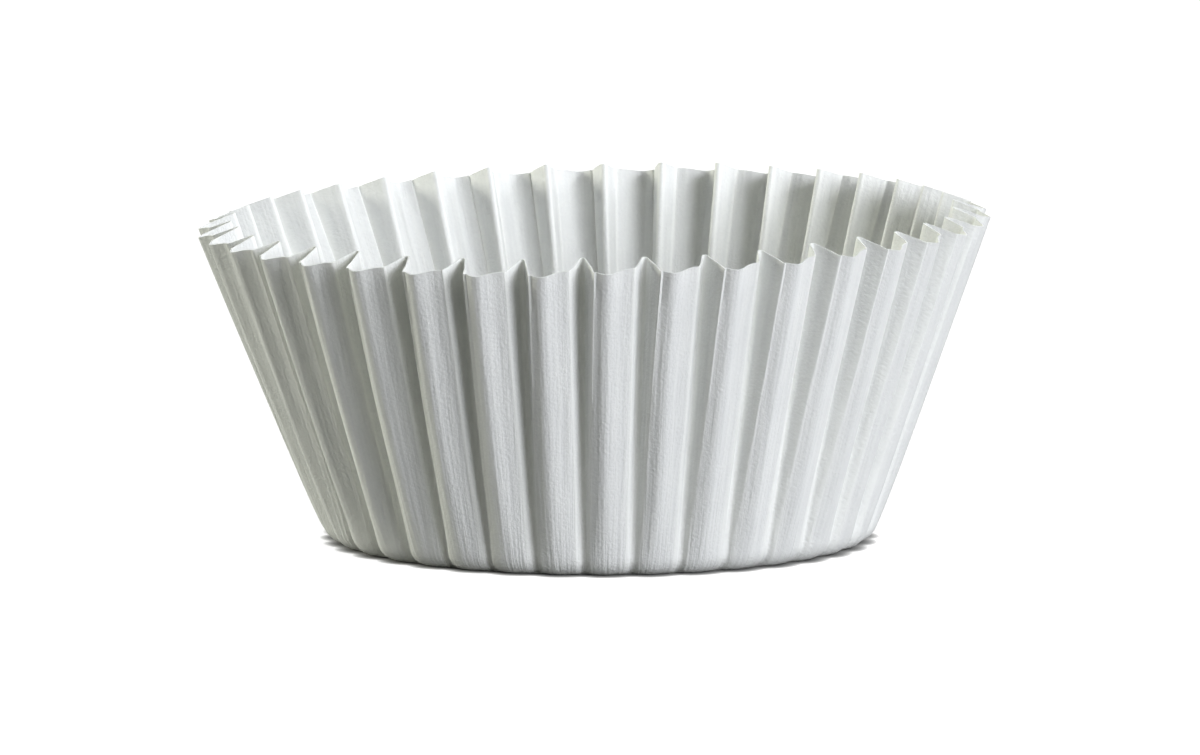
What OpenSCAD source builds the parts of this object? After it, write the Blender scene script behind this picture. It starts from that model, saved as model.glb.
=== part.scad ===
// Cupcake liner: a round flat disc of thin paper, pressed into a cup with a pleated, flared wall.
// The cup stands on Z = 0, with the origin at the centre of the base's underside and +Z up.
// The pleats take up the paper that the wall has too much of, so their depth follows from the disc.

/* [Paper] */
// Diameter of the flat disc before it is pressed
disc_d = 114.3; // [90:0.1:140]
// Thickness of the paper
paper_t = 0.1; // [0.06:0.01:0.2]

/* [Cup] */
// Diameter of the base, where the planes of wall and base meet
base_d = 50.8; // [40:0.1:64]
// Flare of the wall, in degrees from upright
flare = 20.6; // [8:0.1:32]
// Radius of the heel, where the wall turns into the base
heel_r = 2.5; // [1.5:0.1:5]

/* [Pleats] */
// Number of pleats round the wall
pleats = 38; // [30:1:44]
// Gap between two outer lands where they start at the base
land_gap = 0.9; // [0.6:0.1:1.6]
// Gap between two outer lands at the rim
rim_gap = 2.4; // [1.4:0.1:3.2]
// How far the middle of an outer land stands out from its creases, high on the wall
land_bow = 0.8; // [0.2:0.05:1]
// Length up the wall in which about two thirds of that bow rise
bow_rise = 3; // [2:0.5:8]
// Width of the inner fold at the bottom of the gap
fold_w = 0.4; // [0.2:0.05:0.5]

/* [Hidden] */

// Steps of the surface round the heel and up the wall
heel_steps = 3;
wall_steps = 5;
// The steps up the wall are closer near the heel, where the pleats deepen fastest
step_power = 1.6;
// Steps across an outer land
land_steps = 4;
// Overlap of the flat disc of the base with the pressed part
lap = 0.5;
// Direction of the first pleat, at the front
front = -90;

base_r = base_d / 2;
wall_l = (disc_d - base_d) / 2;
turn = 90 - flare;
heel_l = heel_r * tan(turn / 2);
flat_r = base_r - heel_l;
pleat_a = 360 / pleats;

// Steps of the profile, each [radius, height, turn from level, slant length up from the base's edge]
function heel_step(k) =
    let (a = turn * k / heel_steps)
    [flat_r + heel_r * sin(a), heel_r * (1 - cos(a)), a, heel_l * k / heel_steps];
function wall_step(k) =
    let (s = heel_l + (wall_l - heel_l) * pow(k / wall_steps, step_power))
    [base_r + s * sin(flare), s * cos(flare), turn, s];
profile = concat(
    [[flat_r - 2 * lap, 0, 0, 0]],
    [for (k = [0:heel_steps]) heel_step(k)],
    [for (k = [1:wall_steps]) wall_step(k)]
);

// Each of these is taken at a slant length s up from the base's edge.
// Width that a pleat has round the wall, and the width of flat paper that fills it
function pitch_at(s) = 2 * PI * (base_r + s * sin(flare)) / pleats;
function paper_at(s) = 2 * PI * (base_r + s) / pleats;

// Gap between two lands, half the width of a land, and its bow
function gap_at(s) = land_gap + (rim_gap - land_gap) * s / wall_l;
function half_land(s) = (pitch_at(s) - gap_at(s)) / 2;
function bow_at(s) = land_bow * (1 - exp(-s / bow_rise));

// Points of an outer land, each [place along the wall, depth in from the wall's plane].
// The land is an arc with its middle out and its creases in, and its mean depth is zero.
function land_at(s) = [
    for (k = [0:land_steps])
        let (q = 2 * k / land_steps - 1)
        [q * half_land(s), bow_at(s) * (q * q - 1 / 3)]
];
function length_of(points) =
    let (lengths = [for (k = [1:len(points) - 1]) norm(points[k] - points[k - 1])])
    lengths * [for (l = lengths) 1];

// Depth of the inner fold behind the creases, from the paper left for the two sides of the gap
function depth_at(s) =
    let (
        side = (paper_at(s) - length_of(land_at(s)) - fold_w) / 2,
        run = (gap_at(s) - fold_w) / 2
    )
    sqrt(max(side * side - run * run, 0));

// Section of one pleat: an outer land, and the two edges of the inner fold
function section(s) =
    let (
        land = land_at(s),
        fold = pitch_at(s) / 2,
        depth = land[land_steps][1] + depth_at(s)
    )
    concat(land, [[fold - fold_w / 2, depth], [fold + fold_w / 2, depth]]);
section_n = len(section(wall_l));
ring_n = pleats * section_n;

// Outer face of the paper at one step of the profile
function ring_point(p, k, q) =
    let (
        a = front + pleat_a * (k + q[0] / pitch_at(p[3])),
        r = p[0] - q[1] * sin(p[2])
    )
    [r * cos(a), r * sin(a), p[1] + q[1] * cos(p[2])];
function outer_ring(p) =
    let (pleat = section(p[3]))
    [for (k = [0:pleats - 1], q = pleat) ring_point(p, k, q)];

// Direction in from a corner of a ring, long enough to keep both of its sides one unit away
function flat_dir(v) = let (f = [v[0], v[1]]) f / norm(f);
function mitre(before, here, after) =
    let (
        u = flat_dir(here - before),
        v = flat_dir(after - here),
        m = [-u[1] - v[1], u[0] + v[0]]
    )
    m / (1 + u * v);

// Inner face of the paper, one thickness in and up
function inner_ring(ring, a) = [
    for (i = [0:ring_n - 1])
        let (m = mitre(ring[(i + ring_n - 1) % ring_n], ring[i], ring[(i + 1) % ring_n]))
        ring[i] + paper_t * [m[0] * sin(a), m[1] * sin(a), cos(a)]
];

// Two triangles for each four-sided patch between two rings, which start at points i and j
function band(i, j) = [
    for (k = [0:ring_n - 1])
        let (n = (k + 1) % ring_n)
        each [[i + k, j + k, j + n], [i + k, j + n, i + n]]
];

module pressed_wall() {
    steps = len(profile);
    outer = [for (p = profile) outer_ring(p)];
    inner = [for (k = [0:steps - 1]) inner_ring(outer[k], profile[k][2])];
    inside = steps * ring_n;
    top = (steps - 1) * ring_n;
    polyhedron(
        points = [for (ring = concat(outer, inner), p = ring) p],
        faces = concat(
            [for (k = [0:steps - 2]) each band(k * ring_n, (k + 1) * ring_n)],
            band(top, inside + top),
            [for (k = [0:steps - 2]) each band(inside + (k + 1) * ring_n, inside + k * ring_n)],
            band(inside, 0)
        ),
        convexity = 10
    );
}

// The middle of the disc, which stays flat
module flat_base() {
    cylinder(h = paper_t, r = flat_r - lap, $fn = 96);
}

module liner() {
    color([0.93, 0.93, 0.91])
    union() {
        pressed_wall();
        flat_base();
    }
}

liner();
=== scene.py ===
import math
from functools import partialmethod
from types import SimpleNamespace

import bpy
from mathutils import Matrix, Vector


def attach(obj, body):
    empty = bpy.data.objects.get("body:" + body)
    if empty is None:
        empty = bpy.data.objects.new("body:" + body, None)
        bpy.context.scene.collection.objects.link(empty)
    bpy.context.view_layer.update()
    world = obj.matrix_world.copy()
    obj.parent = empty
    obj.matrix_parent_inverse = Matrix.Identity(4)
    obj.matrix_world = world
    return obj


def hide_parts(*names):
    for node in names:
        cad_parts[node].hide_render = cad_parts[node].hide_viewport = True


# A cupcake liner: one disc of thin paper, pressed into a cup with a pleated, flared wall.

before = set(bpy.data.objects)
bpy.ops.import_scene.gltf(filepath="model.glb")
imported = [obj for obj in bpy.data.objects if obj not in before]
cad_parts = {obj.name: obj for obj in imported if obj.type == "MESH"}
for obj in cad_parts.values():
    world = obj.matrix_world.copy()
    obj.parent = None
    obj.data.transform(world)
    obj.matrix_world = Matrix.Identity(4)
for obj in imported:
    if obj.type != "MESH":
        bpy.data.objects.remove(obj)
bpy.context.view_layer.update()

MM = 0.001

# Sizes of the pressed paper, as the named inputs of the tree that makes it
LINER = {
    "Disc diameter": 114.3 * MM,
    "Base diameter": 50.8 * MM,
    "Flare": math.radians(20.6),
    "Heel radius": 2.5 * MM,
    "Pleats": 38,
    # The gap between two outer lands at the base and at the rim
    "Land gap": 0.9 * MM,
    "Rim gap": 2.1 * MM,
    # How far a land's middle stands out from its creases, and the length in which that rises
    "Land bow": 0.8 * MM,
    "Bow rise": 3 * MM,
    "Fold width": 0.35 * MM,
    # Paper that the press draws out from under the base's edge, in each pleat
    "Slack": 0.35 * MM,
    # How far the lands lean to the left, with their right-hand sides lower
    "Lean": 0.28 * MM,
    "Crease rounding": 0.6 * MM,
    # The fin that a pinched crease stands out as, at the left of each land
    "Crease lip": 0.35 * MM,
    # How far the paper strays from the regular cup, as a share of the sways below
    "Unevenness": 1.0,
    "Seed": 7,
}
PAPER_T = 0.1 * MM
LIP_WIDTH = 0.28 * MM
# Half the width of the whiter line that a crease leaves
CREASE_WIDTH = 0.25 * MM
# The lean and the lips are this share of their sizes at the base, and 1 more at the rim
GROWN_AT_BASE = 0.6
# How much more a land's right-hand crease is rounded than its left-hand one, for each such share
ROUNDING_GAIN = 1.1
# The widest rounding of a crease, in widths of a side
WIDEST_ROUNDING = 1.8

# Rows of the sheet from the middle of the base to the rim, closer together near the heel
BASE_ROWS = 2
HEEL_ROWS = 6
WALL_ROWS = 30
ROWS = BASE_ROWS + HEEL_ROWS + WALL_ROWS
WALL_POWER = 1.4

# Columns of the sheet in half a pleat, from the middle of its land to the middle of its fold
LAND_COLUMNS = 7
SIDE_COLUMNS = 6
FOLD_COLUMNS = 1
HALF_PLEAT = LAND_COLUMNS + SIDE_COLUMNS + FOLD_COLUMNS
BUNCHING = 0.85

# The sways of the paper: along the wall, in the pleats' depth, out of round and up at the rim
SIDE_SWAY = 0.22 * MM
DEPTH_SWAY = 0.14
ROUND_SWAY = 0.3 * MM
RIM_SWAY = 0.2 * MM
PLEAT_SCALE = 1 / (7 * MM)
ROUND_SCALE = 1 / (40 * MM)
# The sways change this many times more slowly up the wall than round it
SWAY_STRETCH = 4
# Noise keeps near its middle, and the spread takes it to between about -1 and 1
NOISE_MIDDLE = 0.5
NOISE_SPREAD = 3
# How far the pleats stray round the cup, in radians: all of them at the base, and as much more at
# the rim; and by how much those at the front of the base spread, and how much less at the rim
TURN = 0.028
TWIST = 0.025
SPREAD = 0.08
SPREAD_LOSS = 0.07

# The mouth leans a little to the left, as on a cup pressed off the middle of its disc
MOUTH_SHIFT = 0.6 * MM
MOUTH_TILT = math.radians(1.2)

# The middle of the map of the flat disc, which runs from 0 to 1
MAP_MIDDLE = 0.5
# How near two points of the sheet have to be to become one, at its seam and its middle
MERGE_REACH = 0.001 * MM
# Folds sharper than this are shaded as edges
SHARP_ANGLE = math.radians(45)

# Colours of the paper, and how far it lets light through
PAPER_COLOUR = (0.82, 0.83, 0.815)
CREASE_COLOUR = (0.95, 0.96, 0.93)
THROUGH_COLOUR = (0.93, 0.95, 0.86)
THROUGH_SHARE = 0.1
PAPER_ROUGHNESS = 0.6
PAPER_SHEEN = 0.35

# The grain of the paper's clouds and fibres, and of its streaks on a circle twice the disc's size
CLOUD_GRAIN = 2.5 * MM
FIBRE_GRAIN = 0.3 * MM
STREAK_GRAIN = 1.2 * MM
# How fast the streaks change along their length, for each time that they change across it
STREAK_CHANGE = 0.15
# How far from the middle of the disc its streaks start, and the length in which they rise
STREAKS_START = 17 * MM
STREAKS_RISE = 9 * MM
# The least radius, as a share of the disc, that the streaks' direction is divided by
LEAST_RADIUS = 0.01

# How far towards its creases' colour the paper is: all over, and by its pattern and its creases
PLAIN_TONE = 0.25
CLOUD_TONE = 0.5
FIBRE_TONE = 0.6
STREAK_TONE = 1.2
CREASE_TONE = 0.9
# The height of the pattern's relief, and what its fibres add to that and to the roughness
RELIEF = 0.12 * MM
FIBRE_RELIEF = 0.6
FIBRE_ROUGHNESS = 0.3

# The camera, with its sensor in millimetres, as Blender has it
CAMERA_ELEVATION = math.radians(8)
CAMERA_DISTANCE = 1.8
SENSOR = 36
VIEW_WIDTH = 112 * MM
VIEW_HEIGHT = 15 * MM

# The floor, and how near the paper its painted contact shade starts, and how steeply
FLOOR_SIZE = 6
FLOOR_COLOUR = (0.22, 0.22, 0.21)
FLOOR_WHITE = 0.95
PAINTED_SHADE_REACH = 1 * MM
PAINTED_SHADE_POWER = 2

# The room and the lights: each light's name, azimuth and elevation in degrees, distance and side
# in metres, power in watts and colour
ROOM_COLOUR = (0.98, 1.0, 0.95)
ROOM_LIGHT = 0.03
LIGHTS = [
    ("key", 42, 19, 1.2, 0.7, 14.7, (0.92, 0.935, 1.0)),
    ("side", 98, 34, 1.2, 0.6, 4.2, (0.92, 0.935, 1.0)),
    ("fill", -100, 19, 1.2, 0.45, 9.8, (0.99, 1.0, 0.89)),
    ("back", 180, 38, 1.2, 0.9, 5.0, (0.985, 0.99, 1.0)),
]


class Value:
    """A number that nodes work out, so that a rule can be written as plain arithmetic."""

    def __init__(self, socket):
        self.socket = socket

    def math(self, operation, *others):
        node = self.socket.id_data.nodes.new("ShaderNodeMath")
        node.operation = operation
        for slot, value in zip(node.inputs, (self, *others)):
            feed(slot, value)
        return Value(node.outputs[0])

    __add__ = __radd__ = partialmethod(math, "ADD")
    __sub__ = partialmethod(math, "SUBTRACT")
    __mul__ = __rmul__ = partialmethod(math, "MULTIPLY")
    __truediv__ = partialmethod(math, "DIVIDE")
    __pow__ = partialmethod(math, "POWER")
    root = partialmethod(math, "SQRT")
    sin = partialmethod(math, "SINE")
    cos = partialmethod(math, "COSINE")
    tan = partialmethod(math, "TANGENT")
    exp = partialmethod(math, "EXPONENT")
    magnitude = partialmethod(math, "ABSOLUTE")
    sign = partialmethod(math, "SIGN")
    floor = partialmethod(math, "FLOOR")
    at_least = partialmethod(math, "MAXIMUM")
    at_most = partialmethod(math, "MINIMUM")

    def __rsub__(self, other):
        return self * -1 + other

    def share(self):
        """The value, held between 0 and 1."""
        return self.at_least(0).at_most(1)


def feed(slot, value):
    """Gives a node's input a plain value, or one that other nodes work out."""
    if isinstance(value, Value):
        value = value.socket
    if isinstance(value, bpy.types.NodeSocket):
        slot.id_data.links.new(value, slot)
    else:
        slot.default_value = value


def add_node(tree, kind, inputs, **settings):
    node = tree.nodes.new(kind)
    for name, value in settings.items():
        setattr(node, name, value)
    for name, value in inputs.items():
        feed(node.inputs[name], value)
    return node


def vector(tree, x, y, z=0.0):
    return add_node(tree, "ShaderNodeCombineXYZ", {"X": x, "Y": y, "Z": z}).outputs[0]


def eased(share):
    """The share of a strip at a column, with the columns closer together at its creases."""
    return share - (share * math.tau).sin() * (BUNCHING / math.tau)


def corner(along, width):
    """A ramp that starts where along is 0, with its bend rounded over a width of paper."""
    inside = (along + width / 2).at_least(0).at_most(width)
    return inside * inside / (width * 2) + (along - width / 2).at_least(0)


def line_at(along, width):
    """A soft line, 1 where along is 0 and faint past a width to either side."""
    return (along * along / (width * width) * -1).exp()


def stray(tree, where, scale, seed):
    """A smooth random value, mostly between -1 and 1, that depends on a place."""
    inputs = {"Vector": where, "Scale": scale, "Detail": 1.0, "W": seed}
    noise = add_node(tree, "ShaderNodeTexNoise", inputs, noise_dimensions="4D")
    return (Value(noise.outputs[0]) - NOISE_MIDDLE) * NOISE_SPREAD


def store(tree, geometry, name, value, kind="FLOAT", domain="POINT"):
    inputs = {"Geometry": geometry, "Name": name, "Value": value}
    node = add_node(
        tree, "GeometryNodeStoreNamedAttribute", inputs, data_type=kind, domain=domain
    )
    return node.outputs["Geometry"]


def wall_profile(size, row):
    """The regular cup at a row of the sheet: a flat base, a round heel and a straight, flared wall."""
    base_r = size["Base diameter"] / 2
    wall_l = (size["Disc diameter"] - size["Base diameter"]) / 2
    flare = size["Flare"]
    heel_turn = math.pi / 2 - flare
    heel_r = size["Heel radius"]
    heel_l = heel_r * (heel_turn / 2).tan()
    base_share = (row / BASE_ROWS).share()
    heel_share = ((row - BASE_ROWS) / HEEL_ROWS).share()
    wall_share = ((row - BASE_ROWS - HEEL_ROWS) / WALL_ROWS).share() ** WALL_POWER
    slope = heel_turn * heel_share
    climb = (wall_l - heel_l) * wall_share
    slant = heel_l * heel_share + climb
    return SimpleNamespace(
        radius=(base_r - heel_l) * base_share + heel_r * slope.sin() + climb * flare.sin(),
        height=heel_r * (1 - slope.cos()) + climb * flare.cos(),
        slope=slope,
        slant=slant,
        height_share=slant / wall_l,
        heel_share=(slant / heel_l).share(),
        base_r=base_r,
        # The wall's radius if the heel were sharp, and the radius in the flat disc
        sharp_r=base_r + slant * flare.sin(),
        disc_r=(base_r - heel_l) * base_share + heel_l * 2 * heel_share + climb,
    )


def spot_in_pleat(column, pleats):
    """Where a column lies: its pleat, the hand of that pleat's middle that it is on (-1 left, 1
    right), how much of each strip of paper lies before it, and its angle about the cup."""
    pleat = ((column + HALF_PLEAT) / (2 * HALF_PLEAT)).floor()
    offset = column - pleat * (2 * HALF_PLEAT)
    steps = offset.magnitude()
    return SimpleNamespace(
        pleat=pleat,
        hand=offset.sign(),
        land_share=eased((steps / LAND_COLUMNS).share()),
        side_share=eased(((steps - LAND_COLUMNS) / SIDE_COLUMNS).share()),
        fold_share=((steps - LAND_COLUMNS - SIDE_COLUMNS) / FOLD_COLUMNS).share(),
        about=(pleat + offset / (2 * HALF_PLEAT)) / pleats * math.tau,
    )


def paper_sways(tree, size, wall, about):
    """The slow, smooth unevenness of the paper, worked out round a ring so that its ends meet."""
    across = about.sin() * wall.base_r
    back = about.cos() * wall.base_r
    ring = vector(tree, across, back, wall.slant / SWAY_STRETCH)
    uneven = size["Unevenness"] * wall.height_share
    seed = size["Seed"]
    return SimpleNamespace(
        side=stray(tree, ring, PLEAT_SCALE, seed) * SIDE_SWAY * uneven.root(),
        depth=stray(tree, ring, PLEAT_SCALE, seed + 1) * DEPTH_SWAY * size["Unevenness"],
        round=stray(tree, ring, ROUND_SCALE, seed + 2) * ROUND_SWAY * uneven,
        rim=stray(tree, ring, PLEAT_SCALE, seed + 3) * RIM_SWAY * uneven,
    )


def pleat_section(size, wall, spot, depth_sway):
    """A spot in the section of a pleat: a bowed land, a straight side and a narrow fold. The sides
    take up the paper that the wall has too much of, and so the depth follows."""
    pleats = size["Pleats"]
    pitch = wall.sharp_r / pleats * math.tau
    paper = (wall.base_r + wall.slant) / pleats * math.tau + size["Slack"] * wall.heel_share
    fold_w = size["Fold width"]
    gap = size["Land gap"] + (size["Rim gap"] - size["Land gap"]) * wall.height_share
    half_land = (pitch - gap) / 2
    risen = 1 - (wall.slant / size["Bow rise"] * -1).exp()
    bow = size["Land bow"] * risen
    land_l = half_land * ((bow / half_land) ** 2 * (2 / 3) + 1)
    side_l = (paper - land_l * 2 - fold_w) / 2
    run = (pitch - half_land * 2 - fold_w) / 2
    depth = (side_l * side_l - run * run).at_least(0).root() * (depth_sway + 1)
    along = land_l * spot.land_share + side_l * spot.side_share + fold_w / 2 * spot.fold_share

    # How far the paper gets round the cup, with its creases rounded
    on_right = (spot.hand + 1) / 2
    grown = wall.height_share + GROWN_AT_BASE
    rounding = size["Crease rounding"] * (1 + on_right * grown * ROUNDING_GAIN)
    past_crease = corner(along - land_l, rounding.at_most(side_l * WIDEST_ROUNDING))
    past_fold = corner(along - land_l - side_l, fold_w)
    land_run = half_land / land_l
    side_run = run / side_l
    across = land_run * along + (side_run - land_run) * past_crease + (1 - side_run) * past_fold

    # How far it gets in, with the land's bow and lean and the lip of the left-hand crease
    on_land = along / land_l
    bulge = on_land.at_most(1) ** 2 - 1 / 3 + (on_land - 1).at_least(0) * 2
    land_fall = bow / land_l * 2
    side_fall = depth / side_l
    lean = size["Lean"] * risen * grown * spot.hand * (on_land.at_most(1) * math.pi).sin()
    pinch = risen * grown * (1 - on_right)
    lip = size["Crease lip"] * pinch * line_at(along - land_l, LIP_WIDTH)
    sides = (side_fall - land_fall) * past_crease - side_fall * past_fold

    whiter = line_at(along - land_l, CREASE_WIDTH) + line_at(along - land_l - side_l, CREASE_WIDTH)
    return SimpleNamespace(
        across=across,
        inward=bow * bulge + lean + sides - lip,
        disc_angle=(spot.pleat + spot.hand * along / paper) / pleats * math.tau,
        crease=whiter * wall.heel_share,
    )


def place_on_cup(tree, size, wall, spot):
    """The place of a point on the liner, and the section that it lies in."""
    sway = paper_sways(tree, size, wall, spot.about)
    section = pleat_section(size, wall, spot, sway.depth)
    spread = spot.about.sin() * (SPREAD - wall.height_share * SPREAD_LOSS)
    drift = (wall.height_share * TWIST + TURN + spread) * size["Unevenness"]
    off_middle = (spot.hand * section.across + sway.side) / wall.sharp_r
    angle = spot.pleat / size["Pleats"] * math.tau + drift + off_middle
    radius = wall.radius - section.inward * wall.slope.sin() + sway.round
    x = radius * angle.sin()
    y = radius * angle.cos() * -1
    lift = (x * math.tan(MOUTH_TILT) + sway.rim) * wall.height_share
    z = wall.height + section.inward * wall.slope.cos() + lift
    return vector(tree, x - wall.height_share * MOUTH_SHIFT, y, z), section


def place_in_disc(tree, size, wall, section):
    """Where a point lay in the flat disc, as a map from 0 to 1 across it."""
    disc_share = wall.disc_r / size["Disc diameter"]
    u = disc_share * section.disc_angle.sin() + MAP_MIDDLE
    v = disc_share * section.disc_angle.cos() * -1 + MAP_MIDDLE
    return vector(tree, u, v)


def pressed_paper():
    """The tree that makes the outer face of the liner: a flat grid, moved to its place by one rule."""
    tree = bpy.data.node_groups.new("Pressed paper", "GeometryNodeTree")
    tree.is_modifier = True
    for name, value in LINER.items():
        kind = "NodeSocketInt" if isinstance(value, int) else "NodeSocketFloat"
        tree.interface.new_socket(name, in_out="INPUT", socket_type=kind)
    tree.interface.new_socket("Paper", in_out="INPUT", socket_type="NodeSocketMaterial")
    tree.interface.new_socket("Sheet", in_out="OUTPUT", socket_type="NodeSocketGeometry")
    given = tree.nodes.new("NodeGroupInput")
    size = {name: Value(given.outputs[name]) for name in LINER}

    # A grid point's x counts columns from the front, and its y counts rows from the middle
    columns = size["Pleats"] * (2 * HALF_PLEAT)
    grid = add_node(
        tree,
        "GeometryNodeMeshGrid",
        {"Size X": columns, "Vertices X": columns + 1, "Size Y": ROWS, "Vertices Y": ROWS + 1},
    )
    place = tree.nodes.new("GeometryNodeInputPosition").outputs[0]
    xyz = add_node(tree, "ShaderNodeSeparateXYZ", {"Vector": place})
    wall = wall_profile(size, Value(xyz.outputs["Y"]) + ROWS / 2)
    spot = spot_in_pleat(Value(xyz.outputs["X"]), size["Pleats"])
    on_cup, section = place_on_cup(tree, size, wall, spot)
    in_disc = place_in_disc(tree, size, wall, section)

    sheet = store(tree, grid.outputs["Mesh"], "Flat disc", in_disc, "FLOAT2", "CORNER")
    sheet = store(tree, sheet, "Crease", section.crease)
    move = add_node(tree, "GeometryNodeSetPosition", {"Geometry": sheet, "Position": on_cup})
    merge_inputs = {"Geometry": move.outputs[0], "Distance": MERGE_REACH}
    merge = add_node(tree, "GeometryNodeMergeByDistance", merge_inputs)
    smooth = add_node(tree, "GeometryNodeSetShadeSmooth", {"Geometry": merge.outputs[0]})
    real = add_node(tree, "GeometryNodeRealizeInstances", {"Geometry": smooth.outputs[0]})
    coat_inputs = {"Geometry": real.outputs[0], "Material": given.outputs["Paper"]}
    coat = add_node(tree, "GeometryNodeSetMaterial", coat_inputs)
    add_node(tree, "NodeGroupOutput", {"Sheet": coat.outputs[0]})
    return tree


def new_material(name):
    material = bpy.data.materials.new(name)
    material.use_nodes = True
    material.node_tree.nodes.clear()
    return material


def pattern_noise(tree, where, grain, detail):
    inputs = {"Vector": where, "Scale": LINER["Disc diameter"] / grain, "Detail": detail}
    return Value(add_node(tree, "ShaderNodeTexNoise", inputs).outputs[0]) - NOISE_MIDDLE


def drawn_streaks(tree, disc):
    """The streaks that the press draws in the wall, outwards from the middle of the disc. The base
    stays plain."""
    xyz = add_node(tree, "ShaderNodeSeparateXYZ", {"Vector": disc})
    x = Value(xyz.outputs["X"]) - MAP_MIDDLE
    y = Value(xyz.outputs["Y"]) - MAP_MIDDLE
    radius = (x * x + y * y).root().at_least(LEAST_RADIUS)
    outward = vector(tree, x / radius, y / radius, radius * STREAK_CHANGE)
    drawn = ((radius * LINER["Disc diameter"] - STREAKS_START) / STREAKS_RISE).share()
    return pattern_noise(tree, outward, STREAK_GRAIN, detail=2.0) * drawn


def paper_material():
    """Thin white greaseproof paper: cloudy, with fine fibres, and whiter where it is creased."""
    material = new_material("Baking paper")
    tree = material.node_tree
    disc = add_node(tree, "ShaderNodeUVMap", {}, uv_map="Flat disc").outputs[0]
    clouds = pattern_noise(tree, disc, CLOUD_GRAIN, detail=3.0)
    fibres = pattern_noise(tree, disc, FIBRE_GRAIN, detail=2.0)
    streaks = drawn_streaks(tree, disc)
    crease = add_node(tree, "ShaderNodeAttribute", {}, attribute_name="Crease").outputs["Fac"]

    pattern = clouds * CLOUD_TONE + fibres * FIBRE_TONE + streaks * STREAK_TONE
    whiteness = pattern + PLAIN_TONE + Value(crease) * CREASE_TONE
    # A mix of colours has its share as input 0 and the colours as inputs 6 and 7
    tone = add_node(tree, "ShaderNodeMix", {}, data_type="RGBA")
    feed(tone.inputs[0], whiteness.share())
    feed(tone.inputs[6], (*PAPER_COLOUR, 1))
    feed(tone.inputs[7], (*CREASE_COLOUR, 1))
    relief_inputs = {"Height": fibres * FIBRE_RELIEF + streaks, "Distance": RELIEF, "Strength": 1.0}
    relief = add_node(tree, "ShaderNodeBump", relief_inputs).outputs[0]
    skin_inputs = {
        "Base Color": tone.outputs[2],
        "Roughness": fibres * FIBRE_ROUGHNESS + PAPER_ROUGHNESS,
        "Specular IOR Level": PAPER_SHEEN,
        "Normal": relief,
    }
    skin = add_node(tree, "ShaderNodeBsdfPrincipled", skin_inputs)
    through_inputs = {"Color": (*THROUGH_COLOUR, 1), "Normal": relief}
    through = add_node(tree, "ShaderNodeBsdfTranslucent", through_inputs)
    both = tree.nodes.new("ShaderNodeMixShader")
    both.inputs[0].default_value = THROUGH_SHARE
    tree.links.new(skin.outputs[0], both.inputs[1])
    tree.links.new(through.outputs[0], both.inputs[2])
    add_node(tree, "ShaderNodeOutputMaterial", {"Surface": both.outputs[0]})
    return material


def make_liner(material):
    """The liner: the pressed sheet, made a plain mesh with the paper's thickness on its inner side."""
    liner = bpy.data.objects.new("pleated_liner", bpy.data.meshes.new("pleated_liner"))
    bpy.context.scene.collection.objects.link(liner)
    tree = pressed_paper()
    press = liner.modifiers.new("Press", "NODES")
    press.node_group = tree
    for item in tree.interface.items_tree:
        if item.in_out == "INPUT":
            press[item.identifier] = material if item.name == "Paper" else LINER[item.name]
    paper = liner.modifiers.new("Paper", "SOLIDIFY")
    paper.thickness = PAPER_T
    paper.offset = -1
    paper.use_even_offset = True

    graph = bpy.context.evaluated_depsgraph_get()
    mesh = bpy.data.meshes.new_from_object(liner.evaluated_get(graph), depsgraph=graph)
    liner.modifiers.clear()
    liner.data = mesh
    mesh.set_sharp_from_angle(angle=SHARP_ANGLE)
    return liner


def seen_by_camera(tree):
    """1 for the rays that the camera sees, in gloss and glass too, and 0 for those that light things."""
    path = tree.nodes.new("ShaderNodeLightPath")
    seen = Value(path.outputs["Is Camera Ray"])
    for other in ("Is Glossy Ray", "Is Transmission Ray"):
        seen = seen.at_least(Value(path.outputs[other]))
    return seen


def floor_material():
    """A plain floor that keeps the liner's shadow and looks white to the camera, with a painted shade
    in the narrow gap under the heel, where ambient occlusion darkens its white glow."""
    material = new_material("White floor")
    tree = material.node_tree
    matt = add_node(tree, "ShaderNodeBsdfDiffuse", {"Color": (*FLOOR_COLOUR, 1)})
    # Painted shade: the camera's white glow is darkened by ambient occlusion where the heel hides the
    # floor, which draws a dark contact line
    gap = add_node(tree, "ShaderNodeAmbientOcclusion", {"Distance": PAINTED_SHADE_REACH})
    painted_shade_factor = Value(gap.outputs["AO"]) ** PAINTED_SHADE_POWER
    glow_inputs = {"Strength": seen_by_camera(tree) * painted_shade_factor * FLOOR_WHITE}
    glow = add_node(tree, "ShaderNodeEmission", glow_inputs)
    both = tree.nodes.new("ShaderNodeAddShader")
    tree.links.new(matt.outputs[0], both.inputs[0])
    tree.links.new(glow.outputs[0], both.inputs[1])
    add_node(tree, "ShaderNodeOutputMaterial", {"Surface": both.outputs[0]})
    return material


def make_floor():
    mesh = bpy.data.meshes.new("floor")
    half = FLOOR_SIZE / 2
    corners = [(-half, -half, 0), (half, -half, 0), (half, half, 0), (-half, half, 0)]
    mesh.from_pydata(corners, [], [(0, 1, 2, 3)])
    mesh.materials.append(floor_material())
    floor = bpy.data.objects.new("floor", mesh)
    bpy.context.scene.collection.objects.link(floor)
    return floor


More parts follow.
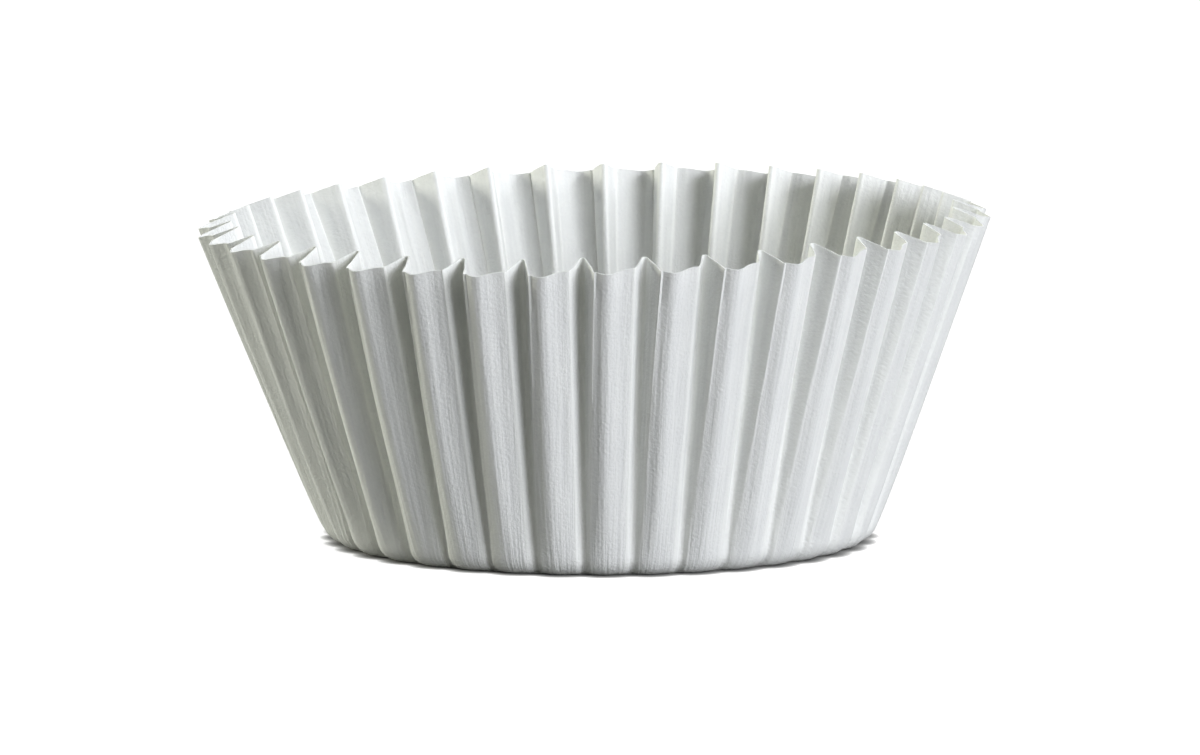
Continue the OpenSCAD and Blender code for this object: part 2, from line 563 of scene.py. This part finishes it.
def direction(azimuth, elevation):
    """The way out from the liner: azimuth 0 is the front, and 90 degrees is its right."""
    level = math.cos(elevation)
    return Vector((math.sin(azimuth) * level, -math.cos(azimuth) * level, math.sin(elevation)))


def point_at(thing, target):
    thing.rotation_euler = (target - thing.location).to_track_quat("-Z", "Y").to_euler()


def add_light(name, azimuth, elevation, distance, side, power, colour):
    lamp = bpy.data.lights.new(name, "AREA")
    lamp.size = side
    lamp.energy = power
    lamp.color = colour
    light = bpy.data.objects.new(name, lamp)
    bpy.context.scene.collection.objects.link(light)
    light.location = direction(math.radians(azimuth), math.radians(elevation)) * distance
    light.visible_camera = False
    point_at(light, Vector((0, 0, VIEW_HEIGHT)))


def make_world():
    """A dim, even room that looks white to the camera."""
    world = bpy.data.worlds.new("Room")
    world.use_nodes = True
    tree = world.node_tree
    tree.nodes.clear()
    room_inputs = {"Color": (*ROOM_COLOUR, 1), "Strength": ROOM_LIGHT}
    room = add_node(tree, "ShaderNodeBackground", room_inputs)
    white = add_node(tree, "ShaderNodeBackground", {"Color": (1, 1, 1, 1), "Strength": 1})
    either = add_node(tree, "ShaderNodeMixShader", {"Fac": seen_by_camera(tree)})
    tree.links.new(room.outputs[0], either.inputs[1])
    tree.links.new(white.outputs[0], either.inputs[2])
    add_node(tree, "ShaderNodeOutputWorld", {"Surface": either.outputs[0]})
    bpy.context.scene.world = world


def make_camera():
    camera = bpy.data.cameras.new("camera")
    camera.sensor_width = SENSOR
    camera.lens = SENSOR * CAMERA_DISTANCE / VIEW_WIDTH
    viewer = bpy.data.objects.new("camera", camera)
    bpy.context.scene.collection.objects.link(viewer)
    target = Vector((0, 0, VIEW_HEIGHT))
    viewer.location = target + direction(0, CAMERA_ELEVATION) * CAMERA_DISTANCE
    point_at(viewer, target)
    bpy.context.scene.camera = viewer


make_camera()
make_world()
for light in LIGHTS:
    add_light(*light)
floor = make_floor()

piece = make_liner(paper_material())
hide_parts("liner")
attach(piece, "root")

bpy.context.scene.view_settings.view_transform = "Standard"
